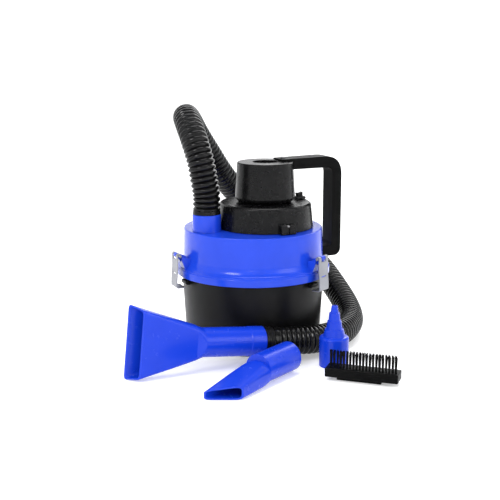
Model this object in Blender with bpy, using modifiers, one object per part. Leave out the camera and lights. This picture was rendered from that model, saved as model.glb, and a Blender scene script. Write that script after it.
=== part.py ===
"""Small 12 V wet and dry canister vacuum, with its hose and loose accessories.

Units are metres and +Z is up. The origin is the middle of the bucket's flat underside, on the
floor. +X is to the right and -Y is the front. Heights are above the floor. "Azimuth" is an angle
about +Z from +X. The motor head stands on its own axis, a little to the right of the bucket's.
"""

import math

import bmesh
import bpy
from mathutils import Matrix, Vector

# ---------------------------------------------------------------- driving dimensions

GAP = 0.0003  # clearance between pieces that touch

BUCKET_BASE_R = 0.0893
BUCKET_TOP_R = 0.0948
BUCKET_RIM_Z = 0.1008
BUCKET_WALL = 0.0024

LID_TOP_Z = 0.1550
LID_TOP_R = 0.0918
LID_ROOT_R = 0.0942
FLANGE_R = 0.1020
FLANGE_TOP_Z = 0.1058
FLANGE_BOTTOM_Z = 0.0950
LID_WALL = 0.0025

HEAD_X = 0.0160  # the motor head's axis
HEAD_OPENING_R = 0.0450
HOUSING_FOOT_R = 0.0640
HOUSING_TOP_R = 0.0610
HOUSING_TOP_Z = 0.1880
NECK_R = 0.0335
NECK_TOP_Z = 0.1960
CAP_TOP_R = 0.0370
CAP_FOOT_R = 0.0396
CAP_TOP_Z = 0.2410
BLOWER_R = 0.0170

PORT_X, PORT_Y = -0.0602, -0.0330
PORT_R = 0.0187
PORT_TOP_Z = 0.1770

HANDLE_AZIMUTH = math.radians(25)
HANDLE_WIDTH = 0.0260
HANDLE_REACH = 0.1085  # from the head's axis to the grip's outer face
HANDLE_THICKNESS = 0.0140
HANDLE_TOP_Z = 0.2455
HANDLE_FOOT_Z = 0.1085

LATCH_AZIMUTHS = {"right": -36, "left": 204, "back": 84}
LATCH_PIN_R = 0.1085  # the pin's distance from the bucket's axis
LATCH_PIN_Z = 0.1250
CLIP_WIDTH = 0.0210
CLIP_SHEET = 0.0012

SWITCH_AZIMUTH = math.radians(27)
SWITCH_R = 0.0520
ROCKER_PIVOT_Z = 0.1925
ROCKER_TILT = math.radians(7)

SHAFT_R = 0.0016
SHAFT_BORE_R = SHAFT_R + GAP
MOTOR_R = 0.0180

HOSE_R = 0.0180
CUFF_BORE_R = 0.0135

NOZZLE_END = Vector((0.0104, -0.1155, 0.0306))  # middle of the wide nozzle's tube end
NOZZLE_YAW = math.radians(202.7)
NOZZLE_PITCH = math.radians(5.5)
NOZZLE_TUBE_R = 0.0183
NOZZLE_MOUTH_HALF_WIDTH = 0.0445
CUFF_SHOWS = 0.0120  # length of the nozzle's cuff outside the nozzle

CREVICE_END = Vector((0.0440, -0.1390, 0.0187))
CREVICE_YAW = math.radians(-126.4)
ADAPTOR_X, ADAPTOR_Y = 0.1006, -0.1190
BRUSH_X, BRUSH_Y = 0.1305, -0.1805
BRUSH_YAW = math.radians(-19)
BRUSH_SIZE = (0.0885, 0.0240, 0.0110)
BRUSH_BASE_Z = 0.0050

ROUND = 40  # segments of a large turned piece
SMALL = 16  # segments of a small one

# ---------------------------------------------------------------- scene, collections, materials

for leftover in list(bpy.data.objects):
    bpy.data.objects.remove(leftover, do_unlink=True)

PARTS = bpy.data.collections.new("shop_vacuum")
CUTTERS = bpy.data.collections.new("cutters")
for collection in (PARTS, CUTTERS):
    bpy.context.scene.collection.children.link(collection)


def material(name, colour, roughness, metallic=0.0):
    """A Principled material with one colour."""
    made = bpy.data.materials.new(name)
    made.use_nodes = True
    shader = made.node_tree.nodes["Principled BSDF"]
    shader.inputs["Base Color"].default_value = (*colour, 1.0)
    shader.inputs["Roughness"].default_value = roughness
    shader.inputs["Metallic"].default_value = metallic
    return made


FINISHES = {
    "blue_gloss": ((0.020, 0.060, 0.750), 0.18, 0.0),
    "blue_tool": ((0.015, 0.080, 0.720), 0.30, 0.0),
    "black_satin": ((0.012, 0.012, 0.013), 0.35, 0.0),
    "black_matte": ((0.015, 0.015, 0.016), 0.55, 0.0),
    "hose_black": ((0.010, 0.010, 0.011), 0.40, 0.0),
    "bristle_black": ((0.008, 0.008, 0.008), 0.60, 0.0),
    "rubber_dark": ((0.020, 0.020, 0.020), 0.80, 0.0),
    "latch_steel": ((0.550, 0.560, 0.580), 0.30, 1.0),
    "plain_steel": ((0.450, 0.450, 0.460), 0.35, 1.0),
    "filter_cloth": ((0.780, 0.760, 0.700), 0.90, 0.0),
    "float_white": ((0.800, 0.800, 0.780), 0.45, 0.0),
    "copper": ((0.720, 0.300, 0.160), 0.35, 1.0),
    "magnet_grey": ((0.120, 0.120, 0.130), 0.60, 0.0),
    "wire_red": ((0.500, 0.020, 0.020), 0.45, 0.0),
}


def dress(obj, finish, smooth=True):
    """Gives the object its own copy of a finish, and shades its round faces smooth."""
    obj.data.materials.clear()
    obj.data.materials.append(material(f"{obj.name}_{finish}", *FINISHES[finish]))
    if smooth and obj.type == "MESH":
        obj.data.shade_smooth()
        obj.data.set_sharp_from_angle(angle=math.radians(35))
    return obj


# ---------------------------------------------------------------- modelling helpers


def mesh_object(name, build, collection=PARTS):
    """A new object whose mesh is filled by build(bmesh)."""
    mesh = bpy.data.meshes.new(name)
    made = bmesh.new()
    build(made)
    made.to_mesh(mesh)
    made.free()
    obj = bpy.data.objects.new(name, mesh)
    collection.objects.link(obj)
    return obj


def hide(cutter):
    """Marks an object as a cutter or as a shape joined to another, not a piece."""
    cutter.hide_render = True
    cutter.display_type = "WIRE"
    return cutter


def turned(name, profile, segments=ROUND, closed=True, at=(0, 0, 0), collection=PARTS):
    """Turns a profile of (radius, height) points about Z. It runs down its outer side."""

    def build(made):
        points = [made.verts.new((r, 0, z)) for r, z in profile]
        for a, b in zip(points, points[1:]):
            made.edges.new((a, b))
        if closed:
            made.edges.new((points[-1], points[0]))

    obj = mesh_object(name, build, collection)
    obj.location = at
    screw = obj.modifiers.new("turn", "SCREW")
    screw.axis = "Z"
    screw.angle = 2 * math.pi
    screw.steps = segments
    screw.render_steps = segments
    screw.use_merge_vertices = True
    screw.merge_threshold = 0.0001
    return obj


def block(name, size, centre, collection=PARTS):
    """A box of a size about a centre."""

    def build(made):
        bmesh.ops.create_cube(made, size=1.0)
        bmesh.ops.scale(made, vec=size, verts=made.verts)
        bmesh.ops.translate(made, vec=centre, verts=made.verts)

    return mesh_object(name, build, collection)


def rod(name, radius, start, end, segments=SMALL, collection=PARTS, end_radius=None):
    """A cylinder or cone between two points, in the object's own space."""
    start, end = Vector(start), Vector(end)
    run = end - start
    turn = Vector((0, 0, 1)).rotation_difference(run).to_matrix().to_4x4()
    place = Matrix.Translation((start + end) / 2) @ turn
    tip = radius if end_radius is None else end_radius

    def build(made):
        bmesh.ops.create_cone(
            made,
            cap_ends=True,
            segments=segments,
            radius1=radius,
            radius2=tip,
            depth=run.length,
            matrix=place,
        )

    return mesh_object(name, build, collection)


def as_mesh(curve_obj, collection=PARTS):
    """Replaces a curve object by the closed mesh of its evaluated shape."""
    graph = bpy.context.evaluated_depsgraph_get()
    mesh = bpy.data.meshes.new_from_object(curve_obj.evaluated_get(graph))
    made = bmesh.new()
    made.from_mesh(mesh)
    bmesh.ops.remove_doubles(made, verts=made.verts, dist=0.000001)
    bmesh.ops.recalc_face_normals(made, faces=made.faces)
    made.to_mesh(mesh)
    made.free()
    name = curve_obj.name
    place = curve_obj.matrix_world.copy()
    bpy.data.objects.remove(curve_obj, do_unlink=True)
    obj = bpy.data.objects.new(name, mesh)
    obj.matrix_world = place
    collection.objects.link(obj)
    return obj


def prism(name, outline, width, collection=PARTS):
    """A flat outline of (x, z) points, made width thick along Y about Y = 0."""
    curve = bpy.data.curves.new(name, "CURVE")
    curve.dimensions = "2D"
    curve.fill_mode = "BOTH"
    curve.extrude = width / 2
    spline = curve.splines.new("POLY")
    spline.points.add(len(outline) - 1)
    for point, (x, z) in zip(spline.points, outline):
        point.co = (x, z, 0, 1)
    spline.use_cyclic_u = True
    obj = bpy.data.objects.new(name, curve)
    collection.objects.link(obj)
    bpy.context.view_layer.update()
    obj = as_mesh(obj, collection)
    obj.data.transform(Matrix.Rotation(math.radians(90), 4, "X"))
    return obj


def cut(obj, *cutters):
    """Takes the cutters' shapes away from the object."""
    for cutter in cutters:
        change = obj.modifiers.new("cut", "BOOLEAN")
        change.operation = "DIFFERENCE"
        change.object = hide(cutter)
    return obj


def join(obj, *others):
    """Unites the other shapes with the object."""
    for other in others:
        change = obj.modifiers.new("join", "BOOLEAN")
        change.operation = "UNION"
        change.object = hide(other)
    return obj


def bevel(obj, width, segments=2, angle=40):
    """Rounds the object's sharp edges."""
    change = obj.modifiers.new("round", "BEVEL")
    change.width = width
    change.segments = segments
    change.limit_method = "ANGLE"
    change.angle_limit = math.radians(angle)
    return obj


def turn_to(azimuth, *objects, at=(0, 0, 0)):
    """Turns objects built along +X to an azimuth about a vertical line through at."""
    for obj in objects:
        obj.location = at
        obj.rotation_euler = (0, 0, azimuth)
    return objects[0]


def arc(centre, radius, start, end, steps):
    """Points of a circle's arc, with its angles in degrees."""
    found = []
    for i in range(steps + 1):
        angle = math.radians(start + (end - start) * i / steps)
        found.append((centre[0] + radius * math.cos(angle), centre[1] + radius * math.sin(angle)))
    return found


def rounded(corners, steps=5):
    """An outline through (x, z, radius) corners, each replaced by an arc."""
    found = []
    count = len(corners)
    for i, (x, z, radius) in enumerate(corners):
        here = Vector((x, z))
        if radius == 0:
            found.append((x, z))
            continue
        before = (Vector(corners[i - 1][:2]) - here).normalized()
        after = (Vector(corners[(i + 1) % count][:2]) - here).normalized()
        half = before.angle(after) / 2
        middle = here + (before + after).normalized() * radius / math.sin(half)
        first = here + before * radius / math.tan(half) - middle
        last = here + after * radius / math.tan(half) - middle
        sweep = first.angle_signed(last)
        for k in range(steps + 1):
            spoke = first.copy()
            spoke.rotate(Matrix.Rotation(-sweep * k / steps, 2))
            found.append(tuple(middle + spoke))
    return found


def strip(path, thickness):
    """The outline of a bent strip: a path of (x, z) points made thickness wide."""
    left, right = [], []
    for i, point in enumerate(path):
        here = Vector(point)
        before = (here - Vector(path[i - 1])).normalized() if i else None
        after = (Vector(path[i + 1]) - here).normalized() if i < len(path) - 1 else None
        along = ((before or after) + (after or before)).normalized()
        side = Vector((-along.y, along.x))
        lean = side.dot(Vector((-(after or before).y, (after or before).x)))
        offset = side * thickness / 2 / lean
        left.append(tuple(here + offset))
        right.append(tuple(here - offset))
    return left + right[::-1]


def smooth_route(points, spacing):
    """Evenly spaced points of a smooth curve through a route's points."""
    ends = [2 * points[0] - points[1], *points, 2 * points[-1] - points[-2]]
    fine = []
    for p0, p1, p2, p3 in zip(ends, ends[1:], ends[2:], ends[3:]):
        for k in range(16):
            t = k / 16
            fine.append(
                0.5
                * (
                    2 * p1
                    + (p2 - p0) * t
                    + (2 * p0 - 5 * p1 + 4 * p2 - p3) * t**2
                    + (3 * p1 - p0 - 3 * p2 + p3) * t**3
                )
            )
    fine.append(points[-1])
    lengths = [0.0]
    for a, b in zip(fine, fine[1:]):
        lengths.append(lengths[-1] + (b - a).length)
    count = round(lengths[-1] / spacing)
    found, i = [], 0
    for k in range(count + 1):
        target = lengths[-1] * k / count
        while i < len(fine) - 2 and lengths[i + 1] < target:
            i += 1
        share = (target - lengths[i]) / (lengths[i + 1] - lengths[i])
        found.append(fine[i].lerp(fine[i + 1], min(1.0, share)))
    return found


def tube(name, points, radius, resolution=2):
    """A round tube along points, as a curve with a bevel and filled caps."""
    curve = bpy.data.curves.new(name, "CURVE")
    curve.dimensions = "3D"
    curve.bevel_depth = radius
    curve.bevel_resolution = resolution
    curve.use_fill_caps = True
    curve.render_resolution_u = 0
    spline = curve.splines.new("POLY")
    spline.points.add(len(points) - 1)
    for point, place in zip(spline.points, points):
        point.co = (*place, 1)
    obj = bpy.data.objects.new(name, curve)
    PARTS.objects.link(obj)
    return obj


def loft(name, outer, inner):
    """A hollow piece, open at both ends, between rings of points outside and inside."""

    def build(made):
        skins = [[[made.verts.new(p) for p in ring] for ring in skin] for skin in (outer, inner)]
        for skin, flip in zip(skins, (False, True)):
            for a, b in zip(skin, skin[1:]):
                bridge(made, a, b, flip)
        bridge(made, skins[0][0], skins[1][0], True)
        bridge(made, skins[0][-1], skins[1][-1], False)
        bmesh.ops.recalc_face_normals(made, faces=made.faces)

    return mesh_object(name, build)


def bridge(made, a, b, flip):
    """Faces between two rings that hold the same number of points."""
    count = len(a)
    for i in range(count):
        j = (i + 1) % count
        face = (a[i], a[j], b[j], b[i])
        made.faces.new(face[::-1] if flip else face)


# ---------------------------------------------------------------- bucket


def make_bucket():
    floor = 0.0030
    bucket = turned(
        "bucket",
        [
            (0, floor),
            (BUCKET_BASE_R - 0.0060, floor),
            (BUCKET_BASE_R - 0.0026, 0.0065),
            (BUCKET_TOP_R - BUCKET_WALL, BUCKET_RIM_Z),
            (BUCKET_TOP_R + 0.0033, BUCKET_RIM_Z),
            (BUCKET_TOP_R + 0.0033, BUCKET_RIM_Z - 0.0028),
            (BUCKET_TOP_R, BUCKET_RIM_Z - 0.0040),
            (BUCKET_BASE_R + 0.0002, 0.0045),
            (BUCKET_BASE_R - 0.0010, 0.0013),
            (BUCKET_BASE_R - 0.0038, 0),
            (0, 0),
        ],
        closed=False,
    )
    for name, azimuth in LATCH_AZIMUTHS.items():
        ear = bevel(
            block(f"keeper_{name}", (0.0060, 0.0160, 0.0050), (0.0965, 0, 0.0878), CUTTERS), 0.0008
        )
        join(bucket, turn_to(math.radians(azimuth), ear))
    return dress(bucket, "black_satin")


# ---------------------------------------------------------------- lid unit


def latch_boss(name):
    """The wedge on the lid that carries a latch, and the tongue that holds its pin."""
    wedge = prism(
        f"boss_{name}",
        rounded(
            [
                (0.0905, 0.1048, 0),
                (0.0995, 0.1048, 0),
                (0.1047, 0.1180, 0),
                (0.1047, 0.1235, 0.0012),
                (0.0905, 0.1195, 0),
            ],
            2,
        ),
        0.0170,
        CUTTERS,
    )
    tongue = prism(
        f"tongue_{name}",
        [(0.0970, 0.1160), (0.1040, 0.1160)]
        + arc((LATCH_PIN_R, LATCH_PIN_Z), 0.0031, -40, 100, 7)
        + [(0.0970, 0.1235)],
        0.0088,
        CUTTERS,
    )
    hole = rod(
        f"pin_hole_{name}",
        0.0012 + GAP,
        (LATCH_PIN_R, -0.02, LATCH_PIN_Z),
        (LATCH_PIN_R, 0.02, LATCH_PIN_Z),
        16,
        CUTTERS,
    )
    return wedge, tongue, hole


def make_lid_shell():
    lid = turned(
        "lid_shell",
        [
            (0, LID_TOP_Z),
            (LID_TOP_R - 0.0014, LID_TOP_Z),
            (LID_TOP_R - 0.0004, LID_TOP_Z - 0.0004),
            (LID_TOP_R, LID_TOP_Z - 0.0014),
            (LID_TOP_R + 0.0013, 0.1160),
            (LID_ROOT_R + 0.0006, 0.1110),
            (LID_ROOT_R + 0.0033, 0.1075),
            (FLANGE_R - 0.0014, FLANGE_TOP_Z),
            (FLANGE_R - 0.0012, 0.1046),
            (FLANGE_R - 0.0005, 0.1042),
            (FLANGE_R, 0.1034),
            (FLANGE_R, FLANGE_BOTTOM_Z),
            (FLANGE_R - 0.0022, FLANGE_BOTTOM_Z),
            (FLANGE_R - 0.0024, 0.1033),
            (LID_TOP_R - 0.0003, 0.1033),
            (LID_TOP_R - 0.0013, 0.1075),
            (LID_TOP_R - 0.0028, LID_TOP_Z - 0.0050),
            (LID_TOP_R - 0.0053, LID_TOP_Z - LID_WALL),
            (0, LID_TOP_Z - LID_WALL),
        ],
        closed=False,
    )
    for name, azimuth in LATCH_AZIMUTHS.items():
        wedge, tongue, hole = latch_boss(name)
        turn_to(math.radians(azimuth), wedge, tongue, hole)
        join(lid, wedge, tongue)
        cut(lid, hole)
    below, above = LID_TOP_Z - 0.02, LID_TOP_Z + 0.02
    cut(
        lid,
        rod("head_opening", HEAD_OPENING_R, (HEAD_X, 0, below), (HEAD_X, 0, above), 40, CUTTERS),
        rod("port_opening", 0.0166, (PORT_X, PORT_Y, below), (PORT_X, PORT_Y, above), 28, CUTTERS),
    )
    return dress(lid, "blue_gloss")


def make_gasket():
    inner, outer = BUCKET_TOP_R - 0.0018, BUCKET_TOP_R + 0.0027
    low = BUCKET_RIM_Z + GAP
    high = 0.1030
    ring = turned("rim_gasket", [(inner, high), (outer, high), (outer, low), (inner, low)], 40)
    return dress(ring, "rubber_dark")


def make_inlet():
    """The blue port that the hose's cuff sits in, and the deflector below it."""
    under = LID_TOP_Z + GAP
    port = turned(
        "inlet_port",
        [
            (0.0161, PORT_TOP_Z),
            (PORT_R - 0.0006, PORT_TOP_Z),
            (PORT_R, PORT_TOP_Z - 0.0006),
            (PORT_R, under),
            (0.0163, under),
            (0.0163, 0.1400),
            (0.0140, 0.1400),
            (0.0140, 0.1570),
            (0.0161, 0.1570),
        ],
        32,
        at=(PORT_X, PORT_Y, 0),
    )
    dress(port, "blue_gloss")
    top, low = 0.1400 - GAP, 0.1130
    deflector = turned(
        "inlet_deflector",
        [
            (0, low + 0.0020),
            (0.0142, low + 0.0020),
            (0.0142, top),
            (0.0163, top),
            (0.0163, low),
            (0, low),
        ],
        24,
        closed=False,
        at=(PORT_X, PORT_Y, 0),
    )
    window = block("deflector_window", (0.0400, 0.0240, 0.0190), (0, 0, 0), CUTTERS)
    window.location = (PORT_X + 0.0120, PORT_Y - 0.0160, 0.1260)
    window.rotation_euler = (0, 0, math.radians(-60))
    cut(deflector, window)
    return dress(deflector, "black_matte")


def make_filter():
    """The cage below the lid, its cloth sleeve and band, and the float in the cage."""
    head = (HEAD_X, 0, 0)
    cage_top = LID_TOP_Z - LID_WALL - GAP
    cage = turned(
        "filter_cage",
        [
            (0.0280, cage_top),
            (0.0300, cage_top),
            (0.0300, 0.0880),
            (0.0080, 0.0880),
            (0.0080, 0.0900),
            (0.0280, 0.0900),
        ],
        32,
        at=head,
    )
    for k in range(3):
        slot = block(f"cage_slot_{k}", (0.0800, 0.0170, 0.0420), (0, 0, 0.1180), CUTTERS)
        cut(cage, turn_to(math.radians(60 * k), slot, at=head))
    dress(cage, "black_matte")
    ring("cage_flange", 0.0303, 0.0490, cage_top - 0.0025, cage_top, "black_matte", 32)

    sleeve = turned(
        "filter_sleeve",
        [(0.0303, 0.1490), (0.0370, 0.1490), (0.0370, 0.0885), (0.0303, 0.0885)],
        32,
        at=head,
    )
    dress(sleeve, "filter_cloth")
    band = turned(
        "filter_band",
        [(0.0373, 0.1450), (0.0390, 0.1450), (0.0390, 0.1400), (0.0373, 0.1400)],
        32,
        at=head,
    )
    dress(band, "rubber_dark")

    rest = 0.0903
    float_cup = turned(
        "float_cup",
        [
            (0, 0.0200),
            (0.0180, 0.0185),
            (0.0250, 0.0120),
            (0.0250, 0),
            (0.0235, 0),
            (0.0235, 0.0113),
            (0.0172, 0.0170),
            (0, 0.0184),
        ],
        28,
        closed=False,
        at=(HEAD_X, 0, rest),
    )
    return dress(float_cup, "float_white")


# ---------------------------------------------------------------- motor head


def make_housing():
    under = LID_TOP_Z + GAP
    head = (HEAD_X, 0, 0)
    plate = HOUSING_TOP_Z - 0.0025
    housing = turned(
        "motor_housing",
        [
            (NECK_R - 0.0025, NECK_TOP_Z),
            (NECK_R, NECK_TOP_Z),
            (NECK_R, HOUSING_TOP_Z + 0.0015),
            (NECK_R + 0.0010, HOUSING_TOP_Z),
            (HOUSING_TOP_R - 0.0028, HOUSING_TOP_Z),
            (HOUSING_TOP_R - 0.0008, HOUSING_TOP_Z - 0.0007),
            (HOUSING_TOP_R, HOUSING_TOP_Z - 0.0025),
            (HOUSING_FOOT_R, under),
            (HOUSING_FOOT_R - 0.0028, under),
            (HOUSING_TOP_R - 0.0025, plate),
            (NECK_R - 0.0025, plate),
        ],
        at=head,
    )
    reach = 0.0688  # the lug screws' distance from the head's axis
    for k, azimuth in enumerate((-65.5, 55, 175)):
        lug = bevel(
            block(f"lug_{k}", (0.0100, 0.0205, 0.0130), (0.0668, 0, under + 0.0065), CUTTERS),
            0.0008,
        )
        groove = rod(f"lug_groove_{k}", 0.0036, (reach, 0, 0.1650), (reach, 0, 0.1720), 16, CUTTERS)
        bore = rod(f"lug_bore_{k}", 0.0019, (reach, 0, 0.1500), (reach, 0, 0.1670), 12, CUTTERS)
        turn_to(math.radians(azimuth), lug, groove, bore, at=head)
        join(housing, lug)
        cut(housing, groove, bore)
        screw = turned(
            f"housing_screw_{k + 1}",
            [(0, 0.1671), (0.0016, 0.1671), (0.0026, 0.1660), (0.0026, 0.1653)]
            + [(0.0014, 0.1653), (0.0014, under + 0.0003), (0, under + 0.0003)],
            12,
            closed=False,
        )
        turn = math.radians(azimuth)
        screw.location = (HEAD_X + reach * math.cos(turn), reach * math.sin(turn), 0)
        dress(screw, "plain_steel")
    gland_hole = rod("gland_hole", 0.0054, (0.0520, 0, 0.1715), (0.0760, 0, 0.1715), 20, CUTTERS)
    cut(housing, turn_to(math.radians(115), gland_hole, at=head))
    return dress(housing, "black_satin")


def make_gland():
    """A rubber bush in the housing's back wall, where the lead goes in."""
    gland = rod("cable_gland", 0.0051, (0.0580, 0, 0.1715), (0.0690, 0, 0.1715))
    collar = rod("gland_collar", 0.0072, (0.0645, 0, 0.1715), (0.0662, 0, 0.1715), 20, CUTTERS)
    bore = rod("gland_bore", 0.0026, (0.0500, 0, 0.1715), (0.0800, 0, 0.1715), 16, CUTTERS)
    turn_to(math.radians(115), gland, collar, bore, at=(HEAD_X, 0, 0))
    join(gland, collar)
    cut(gland, bore)
    return dress(gland, "rubber_dark")


def make_cap():
    plate = CAP_TOP_Z - 0.0030
    cap = turned(
        "top_cap",
        [
            (BLOWER_R, CAP_TOP_Z),
            (CAP_TOP_R - 0.0022, CAP_TOP_Z),
            (CAP_TOP_R - 0.0006, CAP_TOP_Z - 0.0006),
            (CAP_TOP_R, CAP_TOP_Z - 0.0022),
            (CAP_FOOT_R, 0.1950),
            (CAP_FOOT_R - 0.0004, 0.1930),
            (NECK_R + 0.0028, 0.1897),
            (NECK_R + 0.0007, 0.1897),
            (CAP_FOOT_R - 0.0026, 0.1950),
            (CAP_TOP_R - 0.0025, plate),
            (BLOWER_R, plate),
        ],
        at=(HEAD_X, 0, 0),
    )
    turn = HANDLE_AZIMUTH
    place = Vector((HEAD_X + 0.0260 * math.cos(turn), 0.0260 * math.sin(turn), 0))
    bore = rod("cap_screw_bore", 0.0019, (0, 0, 0.2300), (0, 0, 0.2500), 12, CUTTERS)
    bore.location = place
    cut(cap, bore)
    dress(cap, "black_satin")

    top = plate - GAP
    grille = turned(
        "blower_grille",
        [(0, top), (0.0198, top), (0.0198, top - 0.0025), (0, top - 0.0025)],
        32,
        closed=False,
        at=(HEAD_X, 0, 0),
    )
    for k in (-2, -1, 0, 1, 2):
        length = 2 * math.sqrt(0.0160**2 - (0.0056 * k) ** 2)
        slot = block(f"grille_slot_{k + 2}", (0.0030, length, 0.0100), (0.0056 * k, 0, top), CUTTERS)
        slot.location = (HEAD_X, 0, 0)
        cut(grille, slot)
    return dress(grille, "black_matte")


def make_handle():
    """The C-shaped strap from the cap's top to the lid's side, and its two screws."""
    inner = HANDLE_REACH - HANDLE_THICKNESS
    lap_z = CAP_TOP_Z + GAP
    bar_z = HANDLE_TOP_Z - 0.0155
    foot_top = HANDLE_FOOT_Z + HANDLE_THICKNESS
    foot_rho = 0.0803
    handle = prism(
        "handle",
        rounded(
            [
                (0.0182, lap_z, 0),
                (0.0330, lap_z, 0),
                (0.0330, bar_z, 0),
                (inner, bar_z, 0.0070),
                (inner, foot_top, 0.0070),
                (foot_rho, foot_top, 0),
                (foot_rho, HANDLE_FOOT_Z + 0.0040, 0),
                (foot_rho + 0.0035, HANDLE_FOOT_Z, 0),
                (HANDLE_REACH, HANDLE_FOOT_Z, 0.0220),
                (HANDLE_REACH, HANDLE_TOP_Z, 0.0200),
                (0.0182, HANDLE_TOP_Z - 0.0015, 0.0010),
            ]
        ),
        HANDLE_WIDTH,
    )
    bevel(handle, 0.0016, 2, 50)
    grip_z = HANDLE_FOOT_Z + HANDLE_THICKNESS / 2
    bores = [
        rod("top_screw_bore", 0.0019, (0.0260, 0, 0.2300), (0.0260, 0, 0.2600), 12, CUTTERS),
        rod("foot_screw_bore", 0.0021, (0.0750, 0, grip_z), (0.1200, 0, grip_z), 12, CUTTERS),
        rod("cap_clearance", 0.0381, (0, 0, 0.2200), (0, 0, lap_z + 0.0001), ROUND, CUTTERS),
        rod("foot_screw_well", 0.0042, (0.0960, 0, grip_z), (0.1200, 0, grip_z), 16, CUTTERS),
    ]
    turn_to(HANDLE_AZIMUTH, handle, *bores, at=(HEAD_X, 0, 0))
    cut(handle, *bores)
    dress(handle, "black_satin")

    head_z = HANDLE_TOP_Z - 0.0010
    top_screw = rod("handle_screw_top", 0.0014, (0.0260, 0, 0.2350), (0.0260, 0, head_z + 0.0006), 12)
    top_head = rod(
        "top_screw_head", 0.0034, (0.0260, 0, head_z), (0.0260, 0, head_z + 0.0018), 16, CUTTERS
    )
    foot_screw = rod("handle_screw_foot", 0.0016, (0.0808, 0, grip_z), (0.0970, 0, grip_z), 12)
    foot_head = rod("foot_screw_head", 0.0036, (0.0963, 0, grip_z), (0.0986, 0, grip_z), 16, CUTTERS)
    for screw, head in ((top_screw, top_head), (foot_screw, foot_head)):
        turn_to(HANDLE_AZIMUTH, screw, head, at=(HEAD_X, 0, 0))
        dress(join(screw, head), "plain_steel")
    return handle


def make_switch():
    """A rocker switch on the housing's shoulder: bezel, body below the plate, and rocker."""
    turn = SWITCH_AZIMUTH
    place = Vector((HEAD_X + SWITCH_R * math.cos(turn), SWITCH_R * math.sin(turn), 0))
    low = HOUSING_TOP_Z + GAP
    bezel = bevel(block("switch_bezel", (0.0140, 0.0120, 0.0032), (0, 0, low + 0.0016)), 0.0007)
    window = block("switch_window", (0.0106, 0.0070, 0.0200), (0, 0, low), CUTTERS)
    turn_to(turn, bezel, window, at=place)
    dress(cut(bezel, window), "black_matte")

    top = HOUSING_TOP_Z - 0.0025 - GAP
    body = block("switch_body", (0.0090, 0.0080, 0.0070), (-0.0010, 0, top - 0.0035))
    dress(turn_to(turn, body, at=place), "black_matte")

    rocker = prism(
        "switch_rocker",
        [(-0.0036, -0.0032), (0.0036, -0.0032), (0.0042, 0.0044), (0, 0.0036), (-0.0042, 0.0044)],
        0.0060,
    )
    rocker.location = (place.x, place.y, ROCKER_PIVOT_Z)
    rocker.rotation_euler = (0, -ROCKER_TILT, turn)
    return dress(rocker, "black_satin", smooth=False)


# ---------------------------------------------------------------- motor and fan


def ring(name, inner, outer, low, high, finish, segments=SMALL):
    """A plain ring on the motor's axis."""
    made = turned(
        name, [(inner, high), (outer, high), (outer, low), (inner, low)], segments, at=(HEAD_X, 0, 0)
    )
    return dress(made, finish)


def make_motor():
    head = (HEAD_X, 0, 0)
    bracket = ring("motor_bracket", 0.0085, 0.0585, 0.1800, 0.1825, "plain_steel", 32)
    for k in range(6):
        vent = rod(f"bracket_vent_{k}", 0.0045, (0.0245, 0, 0.17), (0.0245, 0, 0.19), 12, CUTTERS)
        cut(bracket, turn_to(math.radians(60 * k + 37), vent, at=head))
    notch = block("bracket_notch", (0.0240, 0.0120, 0.0200), (0.0560, 0, 0.1810), CUTTERS)
    cut(bracket, turn_to(SWITCH_AZIMUTH, notch, at=head))

    can = turned(
        "motor_can",
        [
            (MOTOR_R - 0.0015, 0.2240),
            (MOTOR_R, 0.2240),
            (MOTOR_R, 0.1828),
            (0.0060, 0.1828),
            (0.0060, 0.1846),
            (MOTOR_R - 0.0015, 0.1846),
        ],
        24,
        at=head,
    )
    dress(can, "plain_steel")
    bell = ring("motor_end_bell", 0.0060, MOTOR_R, 0.2243, 0.2285, "black_matte", 24)
    for k in (0, 1):
        slot = rod(f"lead_slot_{k}", 0.0018, (0.0130, 0, 0.22), (0.0130, 0, 0.24), 12, CUTTERS)
        cut(bell, turn_to(SWITCH_AZIMUTH + math.radians(24 * k - 12), slot, at=head))
    ring("bearing_lower", SHAFT_BORE_R, 0.0057, 0.1832, 0.1870, "plain_steel", 16)
    ring("bearing_upper", SHAFT_BORE_R, 0.0057, 0.2246, 0.2283, "plain_steel", 16)

    for side, middle in (("left", 180), ("right", 0)):
        outline = arc((0, 0), 0.0162, middle - 60, middle + 60, 8)
        outline += arc((0, 0), 0.0126, middle + 60, middle - 60, 8)
        magnet = prism(f"magnet_{side}", outline, 0.0260)
        magnet.data.transform(Matrix.Rotation(math.radians(90), 4, "X"))
        magnet.location = (HEAD_X, 0, 0.2010)
        dress(magnet, "magnet_grey")
        way = math.cos(math.radians(middle))
        block_centre = (way * 0.0105, 0, 0.2170)
        brush = block(f"carbon_brush_{side}", (0.0080, 0.0040, 0.0040), block_centre)
        brush.location = head
        dress(brush, "magnet_grey", smooth=False)

    shaft = rod("rotor_shaft", SHAFT_R, (0, 0, 0.1590), (0, 0, 0.2330), 16)
    shaft.location = head
    dress(shaft, "plain_steel")
    ring("armature", SHAFT_BORE_R, 0.0119, 0.1900, 0.2120, "plain_steel", 24)
    ring("commutator", SHAFT_BORE_R, 0.0060, 0.2135, 0.2205, "copper", 16)


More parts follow.
